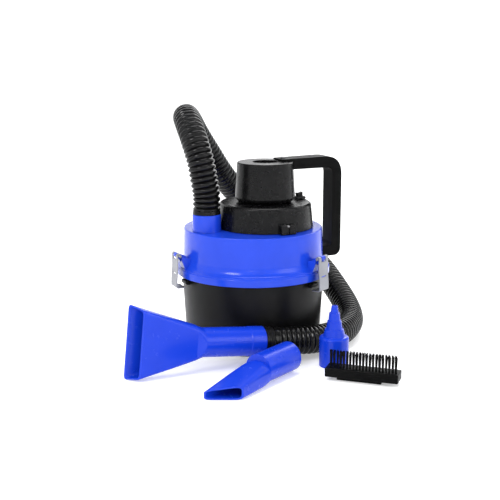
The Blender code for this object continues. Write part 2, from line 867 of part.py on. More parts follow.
def make_fan():
    head = (HEAD_X, 0, 0)
    ring("fan_plate", 0.0160, 0.0602, 0.1580, 0.1603, "black_matte", 32)
    impeller = turned(
        "impeller",
        [
            (SHAFT_BORE_R, 0.1778),
            (0.0070, 0.1778),
            (0.0070, 0.1765),
            (0.0480, 0.1765),
            (0.0480, 0.1747),
            (0.0070, 0.1747),
            (0.0070, 0.1638),
            (SHAFT_BORE_R, 0.1638),
        ],
        32,
        at=head,
    )
    for k in range(8):
        blade = block(f"blade_{k}", (0.0400, 0.0016, 0.0112), (0.0265, 0.0, 0.1697), CUTTERS)
        join(impeller, turn_to(math.radians(45 * k + 10), blade, at=head))
    dress(impeller, "black_matte")
    nut = ring("impeller_nut", SHAFT_BORE_R, 0.0042, 0.1608, 0.1635, "plain_steel", 6)
    return nut


def make_leads():
    """Two wires from the switch body, up past the motor can, to its end bell."""
    for k, (name, finish) in enumerate((("motor_lead_a", "wire_red"), ("motor_lead_b", "rubber_dark"))):
        azimuth = SWITCH_AZIMUTH + math.radians(24 * k - 12)
        start = SWITCH_AZIMUTH + math.radians(6.0 * k - 3.0)
        spots = [
            (0.0460, start, 0.1840),
            (0.0400, start, 0.1840),
            (0.0330, azimuth, 0.1839),
            (0.0275, azimuth, 0.1850),
            (0.0250, azimuth, 0.1900),
            (0.0240, azimuth, 0.2050),
            (0.0235, azimuth, 0.2200),
            (0.0200, azimuth, 0.2310),
            (0.0150, azimuth, 0.2325),
            (0.0130, azimuth, 0.2300),
            (0.0130, azimuth, 0.2262),
        ]
        route = [Vector((HEAD_X + r * math.cos(a), r * math.sin(a), z)) for r, a, z in spots]
        dress(tube(name, smooth_route(route, 0.0060), 0.0010), finish, smooth=False)


# ---------------------------------------------------------------- latches


def make_latch(name, azimuth):
    """A bent spring-steel clip that swings on a pin in the lid's boss."""
    loop = CLIP_SHEET / 2 + 0.0017
    path = arc((0, 0), loop, 240, 0, 12)
    path += [(loop, -0.0100), (loop, -0.0180), (loop + 0.0005, -0.0198)]
    path += [(0.0040, -0.0330), (0.0038, -0.0400)]
    path += arc((0.0018, -0.0400), 0.0020, -15, -90, 4)
    path += [(-0.0080, -0.0420)]
    clip = prism(f"latch_clip_{name}", strip(path, CLIP_SHEET), CLIP_WIDTH)
    notch = block(f"clip_notch_{name}", (0.0120, 0.0100, 0.0100), (0, 0, 0.0005), CUTTERS)
    turn = math.radians(azimuth)
    pivot = (LATCH_PIN_R * math.cos(turn), LATCH_PIN_R * math.sin(turn), LATCH_PIN_Z)
    turn_to(turn, clip, notch, at=pivot)
    dress(cut(clip, notch), "latch_steel")
    half = CLIP_WIDTH / 2 + 0.0008
    pin = rod(f"latch_pin_{name}", 0.0012, (0, -half, 0), (0, half, 0), 12)
    dress(turn_to(turn, pin, at=pivot), "plain_steel")


# ---------------------------------------------------------------- hose


def nozzle_frame():
    """The wide nozzle's frame: +X from its tube end to its mouth, +Z along the mouth."""
    turn = Matrix.Rotation(NOZZLE_YAW, 4, "Z") @ Matrix.Rotation(-NOZZLE_PITCH, 4, "Y")
    return Matrix.Translation(NOZZLE_END) @ turn


HOSE_ROUTE = [
    (-0.0635, -0.0330, 0.2220),
    (-0.0680, -0.0300, 0.2460),
    (-0.0760, -0.0180, 0.2710),
    (-0.0840, 0.0040, 0.2890),
    (-0.0890, 0.0330, 0.2960),
    (-0.0870, 0.0630, 0.2890),
    (-0.0780, 0.0870, 0.2680),
    (-0.0620, 0.1050, 0.2390),
    (-0.0450, 0.1210, 0.2090),
    (-0.0270, 0.1420, 0.1820),
    (-0.0040, 0.1630, 0.1570),
    (0.0250, 0.1750, 0.1320),
    (0.0560, 0.1710, 0.1070),
    (0.0830, 0.1530, 0.0850),
    (0.1030, 0.1280, 0.0660),
    (0.1170, 0.1000, 0.0500),
    (0.1280, 0.0730, 0.0360),
    (0.1340, 0.0460, 0.0260),
    (0.1340, 0.0180, 0.0203),
    (0.1270, -0.0100, 0.0188),
    (0.1170, -0.0340, 0.0190),
    (0.1035, -0.0555, 0.0202),
    (0.0875, -0.0740, 0.0220),
    (0.0685, -0.0900, 0.0240),
]


def make_hose():
    cuff_top = PORT_TOP_Z + 0.0055
    cuff = turned(
        "hose_cuff_port",
        [
            (CUFF_BORE_R, cuff_top),
            (HOSE_R - 0.0004, cuff_top),
            (HOSE_R + 0.0001, cuff_top - 0.0006),
            (HOSE_R + 0.0001, PORT_TOP_Z + GAP),
            (0.0157, PORT_TOP_Z + GAP),
            (0.0157, 0.1575),
            (CUFF_BORE_R, 0.1575),
        ],
        28,
        at=(PORT_X, PORT_Y, 0),
    )
    dress(cuff, "black_satin")

    frame = nozzle_frame()
    start = Vector((PORT_X, PORT_Y, cuff_top + 2 * GAP))
    end = frame @ Vector((-CUFF_SHOWS - 2 * GAP, 0, 0))
    before_end = frame @ Vector((-CUFF_SHOWS - 0.0150, 0, 0))
    rise = start + Vector((0, 0, 0.0185))
    route = [start, rise, *(Vector(p) for p in HOSE_ROUTE), before_end, end]
    dress(tube("suction_hose", smooth_route(route, 0.0125), HOSE_R, 3), "hose_black", smooth=False)

    cuff = turned(
        "hose_cuff_nozzle",
        [
            (CUFF_BORE_R, CUFF_SHOWS),
            (HOSE_R - 0.0004, CUFF_SHOWS),
            (HOSE_R + 0.0001, CUFF_SHOWS - 0.0006),
            (HOSE_R + 0.0001, GAP),
            (0.0155, GAP),
            (0.0155, -0.0300),
            (CUFF_BORE_R, -0.0300),
        ],
        28,
    )
    cuff.matrix_world = frame @ Matrix.Rotation(math.radians(-90), 4, "Y")
    return dress(cuff, "black_satin")


# ---------------------------------------------------------------- nozzle and accessories


def oval(half_y, half_z, power, count=28):
    """A ring of (y, z) points: a circle at power 2, and a boxier oval as power grows."""
    found = []
    for i in range(count):
        angle = 2 * math.pi * i / count
        y, z = math.cos(angle), math.sin(angle)
        found.append(
            (
                half_y * math.copysign(abs(y) ** (2 / power), y),
                half_z * math.copysign(abs(z) ** (2 / power), z),
            )
        )
    return found


def stations(rings, slope_y=0.0, slope_z=0.0):
    """Rings of points from (x, outline, drop) stations. The last one is cut at a slant."""
    found = []
    for x, outline, drop in rings:
        found.append([Vector((x, y, z - drop)) for y, z in outline])
    before, last = found[-2], found[-1]
    for i, (a, b) in enumerate(zip(before, last)):
        lean = slope_y * b.y + slope_z * b.z
        last[i] = a.lerp(b, 1 + lean / (b.x - a.x))
    return found


def make_wide_nozzle():
    """A tube that flares to a wide slot, standing on the slot's narrow end."""
    wall = 0.0020
    radius, collar = NOZZLE_TUBE_R, NOZZLE_TUBE_R + 0.0005
    wide = NOZZLE_MOUTH_HALF_WIDTH
    flat_start, flat, mouth = 0.0790, 0.0890, 0.1647
    slant = -0.80
    outer = stations(
        [
            (0.0, oval(collar, collar, 2), 0),
            (0.0195, oval(collar, collar, 2), 0),
            (0.0198, oval(radius, radius, 2), 0),
            (flat_start, oval(radius, radius, 2), 0),
            (flat, oval(0.0115, 0.0215, 4), 0),
            (mouth, oval(0.0095, wide, 9), 0),
        ],
        slope_y=slant,
    )
    inner = stations(
        [
            (0.0, oval(0.0160, 0.0160, 2), 0),
            (flat_start - 0.0030, oval(0.0160, 0.0160, 2), 0),
            (flat - 0.0020, oval(0.0115 - wall, 0.0215 - wall, 4), 0),
            (mouth, oval(0.0095 - wall, wide - wall, 9), 0),
        ],
        slope_y=slant,
    )
    nozzle = loft("wide_nozzle", outer, inner)
    nozzle.matrix_world = nozzle_frame()
    return dress(nozzle, "blue_tool")


def make_crevice_tool():
    """A tube that steps down to a flat body with a slanted mouth, lying on the floor."""
    radius, wall = 0.0184, 0.0018
    flat_start, flat, mouth = 0.0640, 0.0700, 0.1310
    slant = -0.737

    def drop(half_height):
        return radius - half_height

    outer = stations(
        [
            (0.0, oval(radius, radius, 2), 0),
            (flat_start, oval(radius, radius, 2), 0),
            (flat, oval(0.0184, 0.0135, 3), drop(0.0135)),
            (mouth, oval(0.0182, 0.0072, 5), drop(0.0072)),
        ],
        slope_y=slant,
    )
    inner = stations(
        [
            (0.0, oval(0.0160, 0.0160, 2), 0),
            (flat_start - 0.0060, oval(0.0160, 0.0160, 2), 0),
            (flat - 0.0020, oval(0.0184 - wall, 0.0135 - wall, 3), drop(0.0135)),
            (mouth, oval(0.0182 - wall, 0.0072 - wall, 5), drop(0.0072)),
        ],
        slope_y=slant,
    )
    tool = loft("crevice_tool", outer, inner)
    tool.location = CREVICE_END
    tool.rotation_euler = (0, 0, CREVICE_YAW)
    return dress(tool, "blue_tool")


def make_cone_adaptor():
    """A stepped cone on a round socket, standing on the floor."""
    low = GAP
    outside = [
        (0.0040, 0.0770),
        (0.0052, 0.0682),
        (0.0064, 0.0682),
        (0.0075, 0.0580),
        (0.0083, 0.0580),
        (0.0103, 0.0476),
        (0.0112, 0.0476),
        (0.0140, 0.0385),
        (0.0174, 0.0377),
        (0.0184, 0.0367),
        (0.0184, low),
    ]
    inside = [
        (0.0162, low),
        (0.0162, 0.0350),
        (0.0122, 0.0362),
        (0.0088, 0.0460),
        (0.0060, 0.0565),
        (0.0042, 0.0665),
        (0.0027, 0.0700),
        (0.0027, 0.0770),
    ]
    adaptor = turned("cone_adaptor", outside + inside, 24, at=(ADAPTOR_X, ADAPTOR_Y, 0))
    return dress(adaptor, "blue_tool")


def make_brush():
    """A block with a mounting tongue below and bristles standing on top."""
    length, width, height = BRUSH_SIZE
    place = (BRUSH_X, BRUSH_Y, 0)
    base = block("brush_base", BRUSH_SIZE, (0, 0, BRUSH_BASE_Z + height / 2))
    tongue = block("brush_tongue", (0.0540, 0.0100, 0.0080), (-0.0040, 0, 0.0040 + GAP), CUTTERS)
    bevel(base, 0.0010)
    turn_to(BRUSH_YAW, base, tongue, at=place)
    dress(join(base, tongue), "black_satin")
    low = BRUSH_BASE_Z + height + GAP
    bristles = block("brush_bristles", (length - 0.0020, width - 0.0050, 0.0190), (0, 0, low + 0.0095))
    dress(turn_to(BRUSH_YAW, bristles, at=place), "bristle_black")
    return base


# ---------------------------------------------------------------- assembly


make_bucket()
make_gasket()
make_lid_shell()
make_inlet()
make_filter()
make_housing()
make_gland()
make_cap()
make_handle()
make_switch()
make_motor()
make_fan()
make_leads()
for latch_name, latch_azimuth in LATCH_AZIMUTHS.items():
    make_latch(latch_name, latch_azimuth)
make_hose()
make_wide_nozzle()
make_crevice_tool()
make_cone_adaptor()
make_brush()
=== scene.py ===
"""Looks of a small 12 V wet and dry canister vacuum with its hose and loose tools.

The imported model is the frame. Everything is in metres, +Z up, with the origin at the middle of the
bucket's flat underside. Visible pieces are built here in finer mesh than the frame's solids and
stand for them. The rest of the frame's nodes stay and get their own materials.
"""

import math
import random

import bmesh
import bpy
from mathutils import Matrix, Vector


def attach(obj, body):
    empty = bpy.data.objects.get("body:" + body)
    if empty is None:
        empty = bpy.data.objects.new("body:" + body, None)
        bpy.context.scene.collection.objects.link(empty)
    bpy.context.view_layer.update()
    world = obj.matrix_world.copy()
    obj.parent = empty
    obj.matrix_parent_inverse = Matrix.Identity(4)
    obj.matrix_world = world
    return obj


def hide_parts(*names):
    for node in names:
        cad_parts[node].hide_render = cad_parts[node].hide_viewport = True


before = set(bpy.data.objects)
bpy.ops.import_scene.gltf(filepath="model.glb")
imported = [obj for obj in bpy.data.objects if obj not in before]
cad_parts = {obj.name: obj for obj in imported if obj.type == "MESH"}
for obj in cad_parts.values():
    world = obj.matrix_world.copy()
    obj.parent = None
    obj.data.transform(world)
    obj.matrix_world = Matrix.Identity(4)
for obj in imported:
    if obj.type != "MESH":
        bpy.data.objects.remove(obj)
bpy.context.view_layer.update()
SCENE = bpy.context.scene
RANDOM = random.Random(7)

# ---------------------------------------------------------------- dimensions shared with the CAD

KEEPER_WIDTH = 0.0160
LID_TOP_Z = 0.1550
BOSS_WIDTH = 0.0170
TONGUE_WIDTH, TONGUE_R = 0.0088, 0.0031
HEAD_X = 0.0160  # the motor head's axis
LUG_WIDTH = 0.0205
PORT_X, PORT_Y = -0.0602, -0.0330
PORT_TOP_Z = 0.1770
CUFF_TOP_Z = 0.1825
HANDLE_AZIMUTH = math.radians(25)
HANDLE_WIDTH = 0.0260
CAP_CLEARANCE_R = 0.0381
LATCH_AZIMUTHS = {"right": -36, "left": 204, "back": 84}  # in degrees
LATCH_PIN_R, LATCH_PIN_Z = 0.1085, 0.1250
PIN_HOLE_R = 0.0015
CLIP_SHEET, CLIP_WIDTH = 0.0012, 0.0210
LUG_AZIMUTHS = (-65.5, 55, 175)  # in degrees
HOSE_R = 0.0180
HOSE_PITCH = 0.0067
HOSE_GROOVE = 0.0024
HOSE_GAP = 0.0006  # between each end of the hose and its cuff
CUFF_SHOWS = 0.0120
CUFF_R, CUFF_BORE_R = 0.0181, 0.0135
TOOL_BORE_R = 0.0160  # the sockets of the wide nozzle and the crevice tool
NOZZLE_END = Vector((0.0104, -0.1155, 0.0306))
NOZZLE_YAW, NOZZLE_PITCH = math.radians(202.7), math.radians(5.5)
CREVICE_END = Vector((0.0440, -0.1390, 0.0187))
CREVICE_YAW = math.radians(-126.4)
ADAPTOR_X, ADAPTOR_Y = 0.1006, -0.1190
BRUSH_X, BRUSH_Y, BRUSH_YAW = 0.1305, -0.1805, math.radians(-19)
BRUSH_LENGTH, BRUSH_WIDTH = 0.0885, 0.0240
BRUSH_LOW_Z, BRUSH_TOP_Z = 0.0050, 0.0160

HOSE_ROUTE = [
    (-0.0635, -0.0330, 0.2220),
    (-0.0680, -0.0300, 0.2460),
    (-0.0760, -0.0180, 0.2710),
    (-0.0840, 0.0040, 0.2890),
    (-0.0890, 0.0330, 0.2960),
    (-0.0870, 0.0630, 0.2890),
    (-0.0780, 0.0870, 0.2680),
    (-0.0620, 0.1050, 0.2390),
    (-0.0450, 0.1210, 0.2090),
    (-0.0270, 0.1420, 0.1820),
    (-0.0040, 0.1630, 0.1570),
    (0.0250, 0.1750, 0.1320),
    (0.0560, 0.1710, 0.1070),
    (0.0830, 0.1530, 0.0850),
    (0.1030, 0.1280, 0.0660),
    (0.1170, 0.1000, 0.0500),
    (0.1280, 0.0730, 0.0360),
    (0.1340, 0.0460, 0.0260),
    (0.1340, 0.0180, 0.0203),
    (0.1270, -0.0100, 0.0188),
    (0.1170, -0.0340, 0.0190),
    (0.1035, -0.0555, 0.0202),
    (0.0875, -0.0740, 0.0220),
    (0.0685, -0.0900, 0.0240),
]

# ---------------------------------------------------------------- camera


def make_camera():
    data = bpy.data.cameras.new("camera")
    data.sensor_width = 36
    data.lens = 74.2
    camera = bpy.data.objects.new("camera", data)
    camera.location = (-0.004, -1.350, 0.409)
    camera.rotation_euler = (math.radians(78), 0, 0)
    SCENE.collection.objects.link(camera)
    SCENE.camera = camera


make_camera()

# ---------------------------------------------------------------- materials

MIX_A, MIX_B, MIX_OUT = 6, 7, 2  # a Mix node's colour sockets


def link(tree, out_node, out_name, in_node, in_name):
    tree.links.new(out_node.outputs[out_name], in_node.inputs[in_name])


def noise(tree, coords, scale, detail=3.0, rough=0.55, stretch=None):
    """A noise texture over the piece's own coordinates. Its scale is in features per metre."""
    node = tree.nodes.new("ShaderNodeTexNoise")
    node.inputs["Scale"].default_value = scale
    node.inputs["Detail"].default_value = detail
    node.inputs["Roughness"].default_value = rough
    if stretch:
        mapping = tree.nodes.new("ShaderNodeMapping")
        mapping.inputs["Scale"].default_value = stretch
        link(tree, coords, "Object", mapping, "Vector")
        link(tree, mapping, "Vector", node, "Vector")
    else:
        link(tree, coords, "Object", node, "Vector")
    return node


def spread(tree, source, low, high):
    """Maps a noise's middle range to low..high."""
    node = tree.nodes.new("ShaderNodeMapRange")
    node.inputs["From Min"].default_value = 0.3
    node.inputs["From Max"].default_value = 0.7
    node.inputs["To Min"].default_value = low
    node.inputs["To Max"].default_value = high
    link(tree, source, "Fac", node, "Value")
    return node


def look(
    name,
    colour,
    rough,
    metallic=0.0,
    dust=0.04,
    tone=0.10,
    grain=1500.0,
    grain_depth=0.00003,
    waves=0.0,
    coat=0.0,
    sheen=0.0,
    stretch=None,
    specular=0.5,
):
    """A moulded or rolled surface: cloudy tone, uneven gloss, fine grain and slow waviness.

    tone is the colour's swing, dust the gloss's, and grain_depth and waves are depths in metres.
    """
    made = bpy.data.materials.new(name)
    made.use_nodes = True
    tree = made.node_tree
    shader = tree.nodes["Principled BSDF"]
    coords = tree.nodes.new("ShaderNodeTexCoord")
    shader.inputs["Metallic"].default_value = metallic
    shader.inputs["Coat Weight"].default_value = coat
    shader.inputs["Coat Roughness"].default_value = 0.06
    shader.inputs["Sheen Weight"].default_value = sheen
    shader.inputs["Specular IOR Level"].default_value = specular

    clouds = noise(tree, coords, 35.0, 4.0)
    mix = tree.nodes.new("ShaderNodeMix")
    mix.data_type = "RGBA"
    mix.inputs[MIX_A].default_value = (*[c * (1 - tone) for c in colour], 1)
    pale = [min(1, c * (1 + tone) + dust * 0.05) for c in colour]
    mix.inputs[MIX_B].default_value = (*pale, 1)
    share = spread(tree, clouds, 0.0, 1.0)
    link(tree, share, "Result", mix, "Factor")
    tree.links.new(mix.outputs[MIX_OUT], shader.inputs["Base Color"])

    smear = noise(tree, coords, 120.0, 5.0, 0.6, stretch)
    gloss = spread(tree, smear, max(0.02, rough - dust), rough + dust)
    link(tree, gloss, "Result", shader, "Roughness")

    fine = noise(tree, coords, grain, 2.0, 0.5, stretch)
    bump = tree.nodes.new("ShaderNodeBump")
    bump.inputs["Strength"].default_value = 0.6
    bump.inputs["Distance"].default_value = grain_depth
    link(tree, fine, "Fac", bump, "Height")
    if waves:
        slow = noise(tree, coords, 28.0, 1.0)
        first = tree.nodes.new("ShaderNodeBump")
        first.inputs["Strength"].default_value = 0.5
        first.inputs["Distance"].default_value = waves
        link(tree, slow, "Fac", first, "Height")
        link(tree, first, "Normal", bump, "Normal")
    link(tree, bump, "Normal", shader, "Normal")
    return made


def cloth_look(name, colour, threads):
    """Woven or felted filter cloth: crossed threads with a fuzzy face."""
    made = look(name, colour, 0.9, grain=2600.0, grain_depth=0.0002, sheen=0.4, tone=0.06)
    tree = made.node_tree
    shader = tree.nodes["Principled BSDF"]
    coords = tree.nodes.new("ShaderNodeTexCoord")
    heights = []
    for axis in ("X", "Z"):
        wave = tree.nodes.new("ShaderNodeTexWave")
        wave.bands_direction = axis
        wave.inputs["Scale"].default_value = threads
        wave.inputs["Distortion"].default_value = 0.6
        link(tree, coords, "Object", wave, "Vector")
        heights.append(wave)
    add = tree.nodes.new("ShaderNodeMath")
    add.operation = "ADD"
    for i, wave in enumerate(heights):
        tree.links.new(wave.outputs["Fac"], add.inputs[i])
    bump = tree.nodes.new("ShaderNodeBump")
    bump.inputs["Strength"].default_value = 0.7
    bump.inputs["Distance"].default_value = 0.0004
    tree.links.new(add.outputs[0], bump.inputs["Height"])
    before = shader.inputs["Normal"].links[0].from_socket
    tree.links.new(before, bump.inputs["Normal"])
    link(tree, bump, "Normal", shader, "Normal")
    return made


LOOKS = {
    "blue_gloss": look("blue_gloss", (0.007, 0.045, 0.516), 0.20, grain_depth=0.000003,
                       waves=0.00008, coat=0.12, tone=0.05, dust=0.03, specular=0.22),
    "blue_tool": look("blue_tool", (0.003, 0.034, 0.480), 0.26, grain_depth=0.000001,
                      grain=900, waves=0.00006, coat=0.08, tone=0.03, dust=0.02, specular=0.20),
    "black_satin": look("black_satin", (0.0030, 0.0030, 0.0033), 0.27, grain=1300,
                        grain_depth=0.000004, tone=0.10, dust=0.012, specular=0.16),
    "black_gloss": look("black_gloss", (0.0025, 0.0025, 0.0028), 0.36, grain=1300,
                        grain_depth=0.000004, tone=0.20, specular=0.12),
    "black_deep": look("black_deep", (0.0012, 0.0012, 0.0013), 0.40, grain=1300,
                       grain_depth=0.000005, tone=0.20, specular=0.05),
    "black_matte": look("black_matte", (0.0090, 0.0090, 0.0100), 0.55, grain=1100,
                        grain_depth=0.00002, tone=0.15, specular=0.30),
    "hose_black": look("hose_black", (0.0018, 0.0018, 0.0020), 0.17, grain=1600,
                       grain_depth=0.000003, tone=0.15, dust=0.03, specular=0.20),
    "bristle": look("bristle", (0.0020, 0.0020, 0.0022), 0.50, grain=2500,
                    grain_depth=0.00001, tone=0.35, specular=0.08),
    "rubber": look("rubber", (0.0140, 0.0140, 0.0140), 0.80, grain=1800, grain_depth=0.00006),
    "latch_steel": look("latch_steel", (0.240, 0.245, 0.270), 0.33, metallic=1.0, grain=900,
                        grain_depth=0.000008, stretch=(14, 14, 0.6), tone=0.08, dust=0.07),
    "plain_steel": look("plain_steel", (0.380, 0.380, 0.390), 0.34, metallic=1.0, grain=1100,
                        grain_depth=0.00001, stretch=(1, 1, 12), tone=0.10, dust=0.08),
    "copper": look("copper", (0.750, 0.330, 0.170), 0.30, metallic=1.0, stretch=(1, 1, 16),
                   grain_depth=0.00001),
    "magnet": look("magnet", (0.100, 0.100, 0.110), 0.60, grain=900, grain_depth=0.00006),
    "filter": cloth_look("filter", (0.700, 0.680, 0.610), 420.0),
    "float": look("float", (0.780, 0.780, 0.750), 0.42, tone=0.03),
    "red_wire": look("red_wire", (0.450, 0.015, 0.015), 0.40),
    "black_wire": look("black_wire", (0.015, 0.015, 0.015), 0.45),
}

# ---------------------------------------------------------------- mesh helpers

SHARP_ANGLE = 32  # degrees between two faces from which their edge is shaded sharp


def piece(name, verts, faces, finish, body, stands_for=(), sharp=SHARP_ANGLE, weighted=True):
    """A new shaded object from points and faces, riding on a body."""
    mesh = bpy.data.meshes.new(name)
    mesh.from_pydata([tuple(v) for v in verts], [], faces)
    clean = bmesh.new()
    clean.from_mesh(mesh)
    bmesh.ops.remove_doubles(clean, verts=clean.verts, dist=0.0000005)
    bmesh.ops.recalc_face_normals(clean, faces=clean.faces)
    clean.to_mesh(mesh)
    clean.free()
    mesh.shade_smooth()
    mesh.set_sharp_from_angle(angle=math.radians(sharp))
    obj = bpy.data.objects.new(name, mesh)
    SCENE.collection.objects.link(obj)
    obj.data.materials.append(LOOKS[finish])
    if weighted:
        obj.modifiers.new("normals", "WEIGHTED_NORMAL").keep_sharp = True
    settle(obj, body, stands_for)
    return obj


def settle(obj, body, stands_for=()):
    """Puts a piece on its body, in the place of the nodes it stands for."""
    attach(obj, body)
    if stands_for:
        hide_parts(*([stands_for] if isinstance(stands_for, str) else stands_for))


def soften(points, closed=True, steps=4, radius=0.0006):
    """Rounds the corners of an outline of (x, z) or (x, z, radius) points."""
    found = []
    count = len(points)
    for i, point in enumerate(points):
        here = Vector(point[:2])
        size = point[2] if len(point) > 2 else radius
        if size == 0 or (not closed and i in (0, count - 1)):
            found.append(tuple(here))
            continue
        before = Vector(points[i - 1][:2]) - here
        after = Vector(points[(i + 1) % count][:2]) - here
        half = before.angle(after) / 2
        if half > math.radians(87):
            found.append(tuple(here))
            continue
        reach = min(size / math.tan(half), 0.45 * before.length, 0.45 * after.length)
        first, last = here + before.normalized() * reach, here + after.normalized() * reach
        for k in range(steps + 1):
            t = k / steps
            spot = (1 - t) ** 2 * first + 2 * t * (1 - t) * here + t**2 * last
            found.append(tuple(spot))
    return found


def turned(profile, closed, segments, at=(0, 0, 0)):
    """Points and faces of a profile of (radius, height) points turned about Z."""
    verts, rings, faces = [], [], []
    for r, z in profile:
        if r < 0.000001:
            rings.append([len(verts)])
            verts.append((at[0], at[1], at[2] + z))
            continue
        rings.append(list(range(len(verts), len(verts) + segments)))
        for k in range(segments):
            angle = 2 * math.pi * k / segments
            x, y = r * math.cos(angle), r * math.sin(angle)
            verts.append((at[0] + x, at[1] + y, at[2] + z))
    pairs = list(zip(rings, rings[1:])) + ([(rings[-1], rings[0])] if closed else [])
    for a, b in pairs:
        for k in range(segments):
            j = (k + 1) % segments
            corners = [a[k % len(a)], a[j % len(a)], b[j % len(b)], b[k % len(b)]]
            corners = list(dict.fromkeys(corners))
            if len(corners) > 2:
                faces.append(corners)
    return verts, faces


def lathe(
    name, profile, finish, body, stands_for=(), closed=True, at=(0, 0, 0), segments=120
):
    """A turned piece from (radius, height) or (radius, height, corner radius) points."""
    verts, faces = turned(soften(profile, closed), closed, segments, at)
    return piece(name, verts, faces, finish, body, stands_for)


def prism(outline, width):
    """Points and faces of an outline of (x, z) points, width thick along Y about Y = 0."""
    count = len(outline)
    verts = [(x, side * width / 2, z) for side in (-1, 1) for x, z in outline]
    faces = [tuple(range(count)), tuple(range(2 * count - 1, count - 1, -1))]
    faces += [(k, (k + 1) % count, (k + 1) % count + count, k + count) for k in range(count)]
    return verts, faces


def loft(rings, capped=False, cyclic=False):
    """Points and faces through rings that hold the same number of points."""
    count = len(rings[0])
    verts = [p for ring in rings for p in ring]
    faces = []
    for i in range(len(rings) - (0 if cyclic else 1)):
        a, b = i * count, (i + 1) % len(rings) * count
        for k in range(count):
            j = (k + 1) % count
            faces.append((a + k, a + j, b + j, b + k))
    if capped:
        faces.append(tuple(range(count)))
        faces.append(tuple(range((len(rings) - 1) * count, len(rings) * count)))
    return verts, faces


def placed(shape, matrix):
    verts, faces = shape
    return [matrix @ Vector(v) for v in verts], faces


def about(azimuth, at=(0, 0, 0)):
    return Matrix.Translation(at) @ Matrix.Rotation(azimuth, 4, "Z")


def box(size, centre):
    x, y, z = (s / 2 for s in size)
    outline = [(-x, -z), (x, -z), (x, z), (-x, z)]
    return placed(prism(outline, 2 * y), Matrix.Translation(centre))


def cylinder(radius, start, end, segments=40):
    start, end = Vector(start), Vector(end)
    turn = Vector((0, 0, 1)).rotation_difference(end - start).to_matrix().to_4x4()
    shape = turned([(0, 0), (radius, 0), (radius, (end - start).length),
                    (0, (end - start).length)], False, segments)
    return placed(shape, Matrix.Translation(start) @ turn)


def cut(obj, *shapes):
    """Takes shapes away from an object and keeps the result."""
    tools = []
    for shape in shapes:
        mesh = bpy.data.meshes.new("tool")
        mesh.from_pydata([tuple(v) for v in shape[0]], [], shape[1])
        clean = bmesh.new()
        clean.from_mesh(mesh)
        bmesh.ops.recalc_face_normals(clean, faces=clean.faces)
        clean.to_mesh(mesh)
        clean.free()
        tool = bpy.data.objects.new("tool", mesh)
        SCENE.collection.objects.link(tool)
        tools.append(tool)
        change = obj.modifiers.new("cut", "BOOLEAN")
        change.operation = "DIFFERENCE"
        change.object = tool
    keep(obj)
    for tool in tools:
        bpy.data.objects.remove(tool, do_unlink=True)


def bevel(obj, width, segments=3, angle=40):
    change = obj.modifiers.new("round", "BEVEL")
    change.width = width
    change.segments = segments
    change.limit_method = "ANGLE"
    change.angle_limit = math.radians(angle)
    change.harden_normals = False
    keep(obj)


def keep(obj):
    """Makes the object's modifiers part of its mesh."""
    for change in [m for m in obj.modifiers if m.type == "WEIGHTED_NORMAL"]:
        obj.modifiers.remove(change)
    bpy.context.view_layer.update()
    graph = bpy.context.evaluated_depsgraph_get()
    mesh = bpy.data.meshes.new_from_object(obj.evaluated_get(graph))
    old = obj.data
    obj.modifiers.clear()
    obj.data = mesh
    bpy.data.meshes.remove(old)
    mesh.shade_smooth()
    mesh.set_sharp_from_angle(angle=math.radians(SHARP_ANGLE))
    obj.modifiers.new("normals", "WEIGHTED_NORMAL").keep_sharp = True


def arc(centre, radius, start, end, steps):
    """Points on a circle from one angle to another, in degrees."""
    found = []
    for i in range(steps + 1):
        angle = math.radians(start + (end - start) * i / steps)
        x, z = radius * math.cos(angle), radius * math.sin(angle)
        found.append((centre[0] + x, centre[1] + z))
    return found


def blend(first, last, share):
    return first + (last - first) * share


def strip(path, thickness):
    """The outline of a bent strip: a path of (x, z) points made thickness wide."""
    left, right = [], []
    for i, point in enumerate(path):
        here = Vector(point)
        before = (here - Vector(path[i - 1])).normalized() if i else None
        after = (Vector(path[i + 1]) - here).normalized() if i < len(path) - 1 else None
        along = ((before or after) + (after or before)).normalized()
        side = Vector((-along.y, along.x))
        other = after or before
        offset = side * thickness / 2 / side.dot(Vector((-other.y, other.x)))
        left.append(tuple(here + offset))
        right.append(tuple(here - offset))
    return left + right[::-1]


def smooth_route(points, spacing):
    """Evenly spaced points of a smooth curve through a route's points."""
    ends = [2 * points[0] - points[1], *points, 2 * points[-1] - points[-2]]
    fine = []
    parts = 16
    for p0, p1, p2, p3 in zip(ends, ends[1:], ends[2:], ends[3:]):
        for k in range(parts):
            t = k / parts
            square = (2 * p0 - 5 * p1 + 4 * p2 - p3) * t**2
            cube = (3 * p1 - p0 - 3 * p2 + p3) * t**3
            fine.append(0.5 * (2 * p1 + (p2 - p0) * t + square + cube))
    fine.append(points[-1])
    lengths = [0.0]
    for a, b in zip(fine, fine[1:]):
        lengths.append(lengths[-1] + (b - a).length)
    count = round(lengths[-1] / spacing)
    found, i = [], 0
    for k in range(count + 1):
        target = lengths[-1] * k / count
        while i < len(fine) - 2 and lengths[i + 1] < target:
            i += 1
        share = (target - lengths[i]) / (lengths[i + 1] - lengths[i])
        found.append(fine[i].lerp(fine[i + 1], min(1.0, share)))
    return found


# ---------------------------------------------------------------- hose and its cuffs


def nozzle_frame():
    """The wide nozzle's frame: +X from its tube end to its mouth, +Z along the mouth."""
    turn = Matrix.Rotation(NOZZLE_YAW, 4, "Z") @ Matrix.Rotation(-NOZZLE_PITCH, 4, "Y")
    return Matrix.Translation(NOZZLE_END) @ turn


